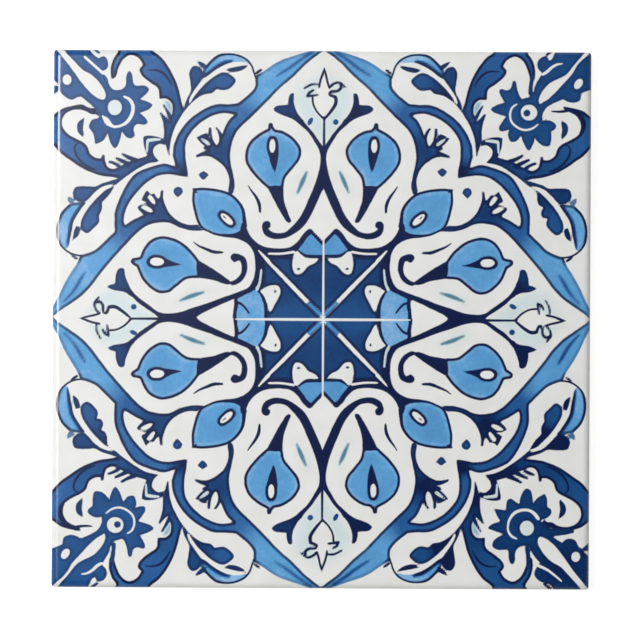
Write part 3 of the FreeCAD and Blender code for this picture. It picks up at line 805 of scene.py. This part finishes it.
def paint_lily(p, upright, broad, tip):
    """Half of the small lily in the pale field at the middle of a side. Its points are (distance from the
    axis, height, width of the line), drawn for one height of its tip and moved along the axis to its
    own."""
    axis = p.axes[0 if upright else 1]
    order = [0, 1, 2] if upright else [1, 0, 2]

    def laid(*points):
        """The lily's own points as the panel's (u, v), with their widths."""
        points = np.array(points, float)
        points[:, 0] += axis
        points[:, 1] += tip - LILY_TIP
        return points[:, order[:points.shape[1]]]

    p.veil(p.area(laid((-2, 94)), laid((8.8, 87)), laid((10.8, 82)), laid((7.8, 75)), laid((-2, 65))), 0.4)
    p.reserve(p.area(laid(
        (-2, 95), (0.4, 92.4), (1.3, 89.5), (1.9, 86.6), (2.4, 84), (4.2, 82.8), (4.1, 80.6), (2.5, 77.7),
        (0, 75.2), (-2, 75.2),
    )))
    if broad:
        leaf = [(-0.4, 94.6, 0.7), (0.5, 91.8, 0.9), (1.2, 88.8, 0.9), (1.9, 86.6, 0.9)]
        foot = [(4.3, 83.2, 1.4), (4.4, 81, 1.4), (2.4, 77.7, 1.2), (0, 74.9, 0.9)]
        scrolls = [
            [(1.9, 86.8, 1), (3.6, 88.2, 1), (5.7, 88.6, 1), (7.9, 87, 0.8)],
            [(5.9, 88.2, 1), (6.3, 86.7, 1.2), (5, 85.5, 1.1), (2.4, 85.2, 1), (2, 84.2, 1.1),
             (4.3, 83.2, 1.2)],
        ]
        dot = p.ellipse(laid((4.4, 73.9))[0], (1.1, 1.1))
    else:
        leaf = [(-0.4, 94.6, 0.7), (0.5, 92.3, 0.9), (1.4, 89.8, 0.9), (2, 86.8, 0.9)]
        foot = [(4.4, 83.4, 0.9), (4.1, 80.6, 0.8), (2.6, 77.7, 0.8), (0, 75, 0.9)]
        scrolls = [
            [(1.9, 88.1, 0.9), (4.6, 88, 0.9), (7.4, 86.6, 0.9)],
            [(4.2, 85.8, 0.9), (5.6, 84.9, 1.1), (6.3, 83.6, 0.9)],
            [(6.4, 83.5, 1), (4.4, 83.8, 1), (2.4, 84.1, 0.9)],
        ]
        dot = p.ellipse(laid((5.2, 74.2))[0], (1.6, 0.85), 118 if upright else -28)
    for scroll in scrolls:
        p.line(p.stroke(*laid(*scroll)))
    stem = [(0, 75.6, 0.8), (0, 70, 0.9), (0, 63, 1.1)]
    for line in (leaf, foot, stem):
        p.thin(p.dark, *laid(*line))
    p.fill(dot, 0.72)


def paint(p, daisy, tips):
    """All the ornament of a quarter, in the order that it is laid."""
    paint_ribbons(p)
    paint_leaves(p, daisy)
    paint_sprigs(p, daisy)
    paint_centre(p)
    paint_buds(p, daisy)
    paint_bells(p)
    paint_forks(p)
    # each quarter has one broad half of a lily and one fine half
    paint_lily(p, True, daisy == "round", tips[0])
    paint_lily(p, False, daisy != "round", tips[1])


def edge_lines():
    """Lines of the face grid: (arc length from the middle, plan position, cosine of the lean).

    The lines are evenly spaced along the surface: across the flat face and on round a quarter circle at
    each edge, where the plan position is that of the flat's end plus radius times the sine of the angle."""
    flat = HALF - FACE_EDGE
    along = np.linspace(-1, 1, FACE_CELLS + 1) * (flat + FACE_EDGE * np.pi / 2)
    angle = np.clip((np.abs(along) - flat) / FACE_EDGE, 0, np.pi / 2)
    plan = np.sign(along) * (np.minimum(np.abs(along), flat) + FACE_EDGE * np.sin(angle))
    return along, plan, np.cos(angle)


def round_corners(x, y, half, radius):
    """Rounds the corners of a square in plan: in the last radius of both ways, a unit square becomes a unit
    disc, each way times the root of one less half the square of the other."""
    into_x = np.clip((np.abs(x) - half + radius) / radius, 0, 1)
    into_y = np.clip((np.abs(y) - half + radius) / radius, 0, 1)
    x = x - np.sign(x) * radius * (into_x - into_x * np.sqrt(1 - into_y * into_y / 2))
    y = y - np.sign(y) * radius * (into_y - into_y * np.sqrt(1 - into_x * into_x / 2))
    return x, y


def border(grid):
    """The border of a grid of vertex numbers, once round, anticlockwise with the first way to the right."""
    return np.concatenate([grid[:-1, 0], grid[-1, :-1], grid[:0:-1, -1], grid[0, :0:-1]])


def grid_faces(grid):
    """The four-sided faces of a grid of vertex numbers, wound anticlockwise seen the same way."""
    return np.stack([grid[:-1, :-1], grid[1:, :-1], grid[1:, 1:], grid[:-1, 1:]], 2).reshape(-1, 4)


def ring_faces(upper, lower):
    """The four-sided faces between two loops of equal count, upper above lower, facing outwards."""
    return np.stack([upper, lower, np.roll(lower, -1), np.roll(upper, -1)], 1)


def zip_faces(fine, coarse, places):
    """The triangles between a fine loop above and a coarse loop below, facing outwards. places gives each
    coarse point's place along the fine loop, counted in fine points."""
    count = np.arange(len(fine))
    under = (np.searchsorted(places, count + 0.5, side="right") - 1) % len(coarse)
    down = np.stack([fine, coarse[under], np.roll(fine, -1)], 1)
    turn = np.ceil(np.roll(places, -1) - 0.5).astype(int) % len(fine)
    up = np.stack([coarse, np.roll(coarse, -1), fine[turn]], 1)
    return np.concatenate([down, up])


def groove_half_width(y, inset):
    """Half a groove's width at a place along it, on the outline that lies inset from its mouth: straight
    sides, and corners of a quarter circle at the ends."""
    radius = GROOVE_CORNER - inset
    into_end = np.clip(np.abs(y) - GROOVE_HALF_LENGTH + GROOVE_CORNER, 0, radius)
    return GROOVE_HALF_WIDTH - GROOVE_CORNER + np.sqrt(radius ** 2 - into_end ** 2)


def back_grid():
    """(x, y, z) of the back's grid: level, with a line along each foot and lip of the keying grooves."""
    ends = HALF - BACK_EDGE - MARGIN_LINES
    turns = [*CORNER_LINES, GROOVE_HALF_LENGTH - GROOVE_SLOPE, GROOVE_HALF_LENGTH]
    half_lines = np.array([*BACK_LINES, *turns, *ends])
    y = np.concatenate([-half_lines[::-1], [0.0], half_lines])
    lip = groove_half_width(y, 0.0)
    foot = np.minimum(groove_half_width(y, GROOVE_SLOPE), lip - WALL_LEAST)
    across = np.stack([-lip, -foot, foot, lip])
    x = (GROOVE_CENTRES[:, None, None] + across).reshape(-1, len(y))
    side = np.repeat(ends[:, None], len(y), 1)
    x = np.concatenate([-side[::-1], x, side])
    on_foot = np.tile([False, True, True, False], len(GROOVE_CENTRES))
    in_groove = np.zeros(x.shape, bool)
    in_groove[len(ends):-len(ends)] = on_foot[:, None]
    in_groove &= np.abs(y) < GROOVE_HALF_LENGTH - GROOVE_SLOPE + LINE_SLACK
    return x, np.broadcast_to(y, x.shape), np.where(in_groove, GROOVE_DEPTH, 0.0)


def build_tile():
    """The tile's closed mesh, in millimetres: (vertices, four-sided faces, triangles, the shell's points
    unrolled into a plane, how many of the four-sided faces lie on the back)."""
    points, unrolled = [], []

    def put(places, plane):
        """Adds points with their places when unrolled, and gives their vertex numbers."""
        first = sum(map(len, points))
        points.append(places)
        unrolled.append(plane)
        return first + np.arange(len(places))

    along, plan, lean = edge_lines()
    x, y = np.meshgrid(plan, plan, indexing="ij")
    z = THICKNESS - FACE_EDGE * (1 - lean[:, None] * lean[None, :])
    x, y = round_corners(x, y, HALF, PLAN_CORNER)
    plane = np.stack(np.meshgrid(along, along, indexing="ij"), 2).reshape(-1, 2)
    face = put(np.stack([x, y, z], 2).reshape(-1, 3), plane).reshape(x.shape)
    rim = border(face)
    # the print runs a little way down the sides on a loop as fine as the rim
    skirt = put(points[0][rim] - [0, 0, PRINT_DROP], plane[rim] * (1 + PRINT_DROP / HALF))
    # loops round the eased edge of the back, each inset by the radius times one less the sine of its angle
    x, y, z = back_grid()
    ring = border(np.arange(x.size).reshape(x.shape))
    flat = HALF - BACK_EDGE
    square = np.stack([x, y], 2).reshape(-1, 2)[ring] / flat
    loops = []
    for angle in np.radians(BACK_LOOPS):
        inset = BACK_EDGE * (1 - np.sin(angle))
        loop = round_corners(*(square * (HALF - inset)).T, HALF - inset, PLAN_CORNER - inset)
        level = np.full(len(square), BACK_EDGE * (1 - np.cos(angle)))
        plane = square * along[-1] * (1 + (UNROLLED_EDGE - np.sin(angle)) / HALF)
        loops.append(put(np.stack([*loop, level], 1), plane))
    x, y = round_corners(x, y, flat, PLAN_CORNER - BACK_EDGE)
    plane = np.zeros((x.size, 2))
    plane[ring] = square * along[-1] * (1 + UNROLLED_RIM / HALF)
    back = put(np.stack([x, y, z], 2).reshape(-1, 3), plane).reshape(x.shape)
    # each coarse point's place along the fine rim, counted on from its own side's first corner
    columns, rows = x.shape[0] - 1, x.shape[1] - 1
    side = np.repeat(np.arange(4), [columns, rows, columns, rows])
    on_x, on_y = np.interp(square.T * HALF, plan, np.arange(FACE_CELLS + 1))
    places = FACE_CELLS * side + np.choose(side, [on_x, on_y, FACE_CELLS - on_x, FACE_CELLS - on_y])
    eased = [ring_faces(upper, lower) for upper, lower in zip(loops, [*loops[1:], border(back)])]
    quads = np.concatenate([grid_faces(face), ring_faces(rim, skirt), *eased, grid_faces(back)[:, ::-1]])
    triangles = zip_faces(skirt, loops[0], places)
    return np.concatenate(points), quads, triangles, np.concatenate(unrolled), columns * rows


def paint_face():
    """The ornament's layers over the whole face. Each quarter is painted on its own, mirrored and a little
    off true. Painted shade deepens its dark blues towards its corner, most in the lower right away from the
    key light, and in the upper left, below zero, it is painted light that makes them paler."""
    half = FACE_CELLS // 2
    axis = half + AXIS_CELLS
    lines = edge_lines()[1] / HALF * DESIGN_HALF
    face = {name: np.empty((FACE_CELLS + 1, FACE_CELLS + 1)) for name in LAYERS}
    for (right, up), shift, stretch, daisy, tips, depth in QUARTERS:
        outwards = lines[axis:] if right else -lines[axis::-1]
        upwards = lines[half:] if up else -lines[half::-1]
        outwards = (outwards - shift[0]) / stretch[0]
        upwards = (upwards - shift[1]) / stretch[1]
        u, v = np.meshgrid(outwards, upwards, indexing="ij")
        panel = Panel(u, v)
        paint(panel, daisy, tips)
        # painted shade on the dark blues towards the corner, away from the key light; painted light where
        # below zero
        way_out = np.clip((np.hypot(u, v) - PAINTED_SHADE_FROM) / PAINTED_SHADE_OVER, 0, PAINTED_SHADE_MOST)
        painted_shade = 1 + depth * panel.tone * way_out
        quarter = {
            "blue_edge": panel.blue, "line_edge": panel.ink, "teal_edge": panel.teal, "rim": panel.rim,
            "blue_tone_and_shade": panel.tone * painted_shade, "wash": panel.wash, "dark_side": panel.dark[0],
            "dark_half": panel.dark[1], "bare_side": panel.bare[0], "bare_half": panel.bare[1],
        }
        for name, values in quarter.items():
            part = face[name][axis:] if right else face[name][axis::-1]
            part = part[:, half:] if up else part[:, half::-1]
            part[:] = values
    return face


def add_tile():
    """The tile as one object whose points carry the ornament."""
    points, quads, triangles, unrolled, back_faces = build_tile()
    mesh = bpy.data.meshes.new("painted_tile")
    mesh.from_pydata((points * MM).tolist(), [], quads.tolist() + triangles.tolist())
    mesh.shade_smooth()
    mesh.set_sharp_from_angle(angle=np.radians(SHARP_ANGLE))
    # the map that a colour is baked through
    corners = np.concatenate([quads.ravel(), triangles.ravel()])
    on_back = np.zeros(len(corners), bool)
    on_back[4 * (len(quads) - back_faces):4 * len(quads)] = True
    reach = np.abs(unrolled).max()
    shell_map = MAP_MARGIN + SHELL_SIDE * (unrolled + reach) / (2 * reach)
    back_map = STRIP_MIDDLE + STRIP_HALF * points[:, :2] / HALF
    places = np.where(on_back[:, None], back_map[corners], shell_map[corners])
    layer = mesh.uv_layers.new(name="OFBake")
    layer.data.foreach_set("uv", places.astype(np.float32).ravel())
    # the ornament
    face = paint_face()
    face_count = (FACE_CELLS + 1) ** 2
    rim = border(np.arange(face_count).reshape(FACE_CELLS + 1, -1))
    for name, (empty, fall) in LAYERS.items():
        whole = face[name].ravel()
        values = np.full(len(points), empty)
        values[:face_count] = whole
        values[face_count:face_count + len(rim)] = whole[rim] + fall
        attribute = mesh.attributes.new(name, "FLOAT", "POINT")
        attribute.data.foreach_set("value", values.astype(np.float32))
    tile = bpy.data.objects.new("painted_tile", mesh)
    bpy.context.collection.objects.link(tile)
    return tile


def linear(red, green, blue):
    """A colour for a shader from its level as seen on a screen, 0 to 255."""
    level = np.array([red, green, blue]) / 255
    level = np.where(level > 0.04045, ((level + 0.055) / 1.055) ** 2.4, level / 12.92)
    return (*level, 1.0)


class Nodes:
    """Adds shader nodes to a material or a world and links them."""

    def __init__(self, owner):
        owner.use_nodes = True
        self.owner = owner
        self.tree = owner.node_tree
        self.tree.nodes.clear()

    def add(self, kind, settings=None, **inputs):
        """A node with its settings and inputs, each a value or another node's output. An input goes by its
        name, or by an underscore and its number."""
        node = self.tree.nodes.new("ShaderNode" + kind)
        for key, value in (settings or {}).items():
            setattr(node, key, value)
        for key, value in inputs.items():
            socket = node.inputs[int(key[1:])] if key[0] == "_" else node.inputs[key.replace("_", " ")]
            if isinstance(value, bpy.types.NodeSocket):
                self.tree.links.new(value, socket)
            else:
                socket.default_value = value
        return node

    def value_of(self, name):
        """One of the layers that the mesh's points carry."""
        return self.add("Attribute", {"attribute_name": name}).outputs["Fac"]

    def math(self, operation, *values):
        """The result of an operation on values or outputs."""
        inputs = {f"_{number}": value for number, value in enumerate(values)}
        return self.add("Math", {"operation": operation}, **inputs).outputs[0]

    def sum(self, total, *terms):
        """All of them added up."""
        for term in terms:
            total = self.math("ADD", total, term)
        return total

    def swing(self, noise, amount):
        """A noise as a swing about zero: it times the amount, less half the amount."""
        return self.math("MULTIPLY_ADD", noise, amount, -amount / 2)

    def thin_edge(self, name):
        """The distance to a thin line's edge: that to its middle less its half width."""
        distance = self.math("ABSOLUTE", self.value_of(name + "_side"))
        return self.math("SUBTRACT", distance, self.value_of(name + "_half"))

    def step(self, value, start, end):
        """0 at the start to 1 at the end, eased at both."""
        settings = {"interpolation_type": "SMOOTHSTEP"}
        return self.add("MapRange", settings, Value=value, From_Min=start, From_Max=end).outputs["Result"]

    def mix(self, factor, below, above, blend="MIX"):
        """One colour over another, as far as the factor says."""
        settings = {"data_type": "RGBA", "blend_type": blend}
        return self.add("Mix", settings, _0=factor, _6=below, _7=above).outputs[2]

    def coat(self, edge, below, above, soft=PAINT_SOFT):
        """One colour over another where the distance to its edge is under zero, with a soft border."""
        return self.mix(self.step(edge, soft, -soft), below, above)

    def ramp(self, factor, stops):
        """A colour that runs through stops of (place, colour as seen on a screen)."""
        node = self.add("ValToRGB", Fac=factor)
        elements = node.color_ramp.elements
        while len(elements) < len(stops):
            elements.new(1.0)
        for element, (place, colour) in zip(elements, stops):
            element.position = place
            element.color = linear(*colour)
        return node.outputs["Color"]

    def noise(self, where, kind):
        """Soft patches of one of the kinds of noise."""
        return self.add("TexNoise", Vector=where, Scale=kind[0], Detail=kind[1]).outputs["Fac"]


def painted_glaze():
    """White glaze with its paints in the order that they lie: blues with their rims, teal, dark paint, dark
    lines, and the lines left bare. On the sides it runs out in a wavy line, and the clay below it is bare."""
    nodes = Nodes(bpy.data.materials.new("painted_glaze"))
    where = nodes.add("TexCoord").outputs["Object"]
    grain = nodes.noise(where, GRAIN)
    cloud = nodes.noise(where, CLOUD)
    wobble = nodes.swing(nodes.noise(where, EDGE_NOISE), EDGE_SWING)
    washes = nodes.ramp(nodes.value_of("wash"), WASHES)
    ground = nodes.mix(1.0, washes, nodes.ramp(cloud, GROUND), "MULTIPLY")
    # the blues' printed tone, with the painted shade towards the corners in it
    tone = nodes.sum(
        nodes.value_of("blue_tone_and_shade"), nodes.swing(cloud, CLOUD_SWING), nodes.swing(grain, GRAIN_SWING))
    blues = nodes.ramp(tone, BLUES)
    navy = nodes.ramp(cloud, NAVY)
    blue_edge = nodes.sum(nodes.value_of("blue_edge"), wobble)
    rim = nodes.math("MULTIPLY", nodes.step(blue_edge, RIM_INNER, RIM_OUTER), nodes.value_of("rim"))
    colour = nodes.coat(blue_edge, ground, nodes.mix(rim, blues, navy))
    colour = nodes.coat(nodes.sum(nodes.value_of("teal_edge"), wobble), colour, linear(*TEAL), TEAL_SOFT)
    colour = nodes.coat(nodes.sum(nodes.value_of("line_edge"), wobble), colour, navy)
    colour = nodes.coat(nodes.thin_edge("dark"), colour, navy)
    colour = nodes.coat(nodes.thin_edge("bare"), colour, ground)
    height = nodes.add("SeparateXYZ", Vector=where).outputs["Z"]
    glazed = nodes.step(nodes.sum(height, nodes.swing(cloud, GLAZE_WAVE)), GLAZE_END, GLAZE_FULL)
    clay = nodes.ramp(nodes.noise(where, CLAY_NOISE), CLAY)
    colour = nodes.mix(glazed, clay, colour)
    roughness = nodes.add("MapRange", Value=glazed, To_Min=CLAY_ROUGHNESS, To_Max=GLAZE_ROUGHNESS)
    waves = nodes.noise(where, WAVE_NOISE)
    bump = nodes.add("Bump", Height=waves, Strength=WAVE_STRENGTH, Distance=WAVE_DEPTH)
    shader = nodes.add("BsdfPrincipled", Base_Color=colour, Roughness=roughness.outputs["Result"],
                       Normal=bump.outputs["Normal"])
    nodes.add("OutputMaterial", Surface=shader.outputs["BSDF"])
    return nodes.owner


def floor_material():
    """Near white. Rays straight from the camera see it a little brighter, so that it stays white about the
    tile."""
    nodes = Nodes(bpy.data.materials.new("studio_floor"))
    lift = nodes.math("MULTIPLY", nodes.add("LightPath").outputs["Is Camera Ray"], FLOOR_GLOW)
    shader = nodes.add("BsdfPrincipled", Base_Color=linear(*FLOOR_WHITE), Roughness=FLOOR_ROUGHNESS,
                       Emission_Color=(1, 1, 1, 1), Emission_Strength=lift)
    nodes.add("OutputMaterial", Surface=shader.outputs["BSDF"])
    return nodes.owner


def add_floor():
    """A wide level square just under the tile."""
    mesh = bpy.data.meshes.new("studio_floor")
    level = low[2] - FLOOR_GAP
    square = [(-1, -1), (1, -1), (1, 1), (-1, 1)]
    mesh.from_pydata([(FLOOR_HALF * x, FLOOR_HALF * y, level) for x, y in square], [], [(0, 1, 2, 3)])
    floor = bpy.data.objects.new("studio_floor", mesh)
    mesh.materials.append(floor_material())
    bpy.context.collection.objects.link(floor)


def studio_world():
    """Soft white light from all round, brightest low down and dark overhead."""
    nodes = Nodes(bpy.data.worlds.new("studio"))
    height = nodes.add("SeparateXYZ", Vector=nodes.add("TexCoord").outputs["Generated"]).outputs["Z"]
    glow = nodes.add("MapRange", Value=height, To_Min=GLOW_LOW, To_Max=GLOW_HIGH).outputs["Result"]
    light = nodes.add("Background", Color=(1, 1, 1, 1), Strength=glow)
    nodes.add("OutputWorld", Surface=light.outputs["Background"])
    return nodes.owner


def add_light(name, place, size, power):
    """A square soft light that faces the tile."""
    data = bpy.data.lights.new(name, "AREA")
    data.size = size
    data.energy = power
    light = bpy.data.objects.new(name, data)
    light.location = place
    light.rotation_euler = (-light.location).to_track_quat("-Z", "Y").to_euler()
    bpy.context.collection.objects.link(light)


def add_camera():
    """Straight above the tile, with its upper edge up in the picture, turned a hair like the photograph."""
    data = bpy.data.cameras.new("camera")
    data.sensor_width = CAMERA_SENSOR
    data.lens = CAMERA_LENS
    camera = bpy.data.objects.new("camera", data)
    camera.location = CAMERA_PLACE
    camera.rotation_euler = (0, 0, np.radians(CAMERA_TURN))
    bpy.context.collection.objects.link(camera)
    bpy.context.scene.camera = camera


tile = add_tile()
tile.data.materials.append(painted_glaze())
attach(tile, "root")
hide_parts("tile")

add_floor()
for light in LIGHTS:
    add_light(*light)
bpy.context.scene.world = studio_world()
bpy.context.scene.view_settings.view_transform = "Standard"
add_camera()
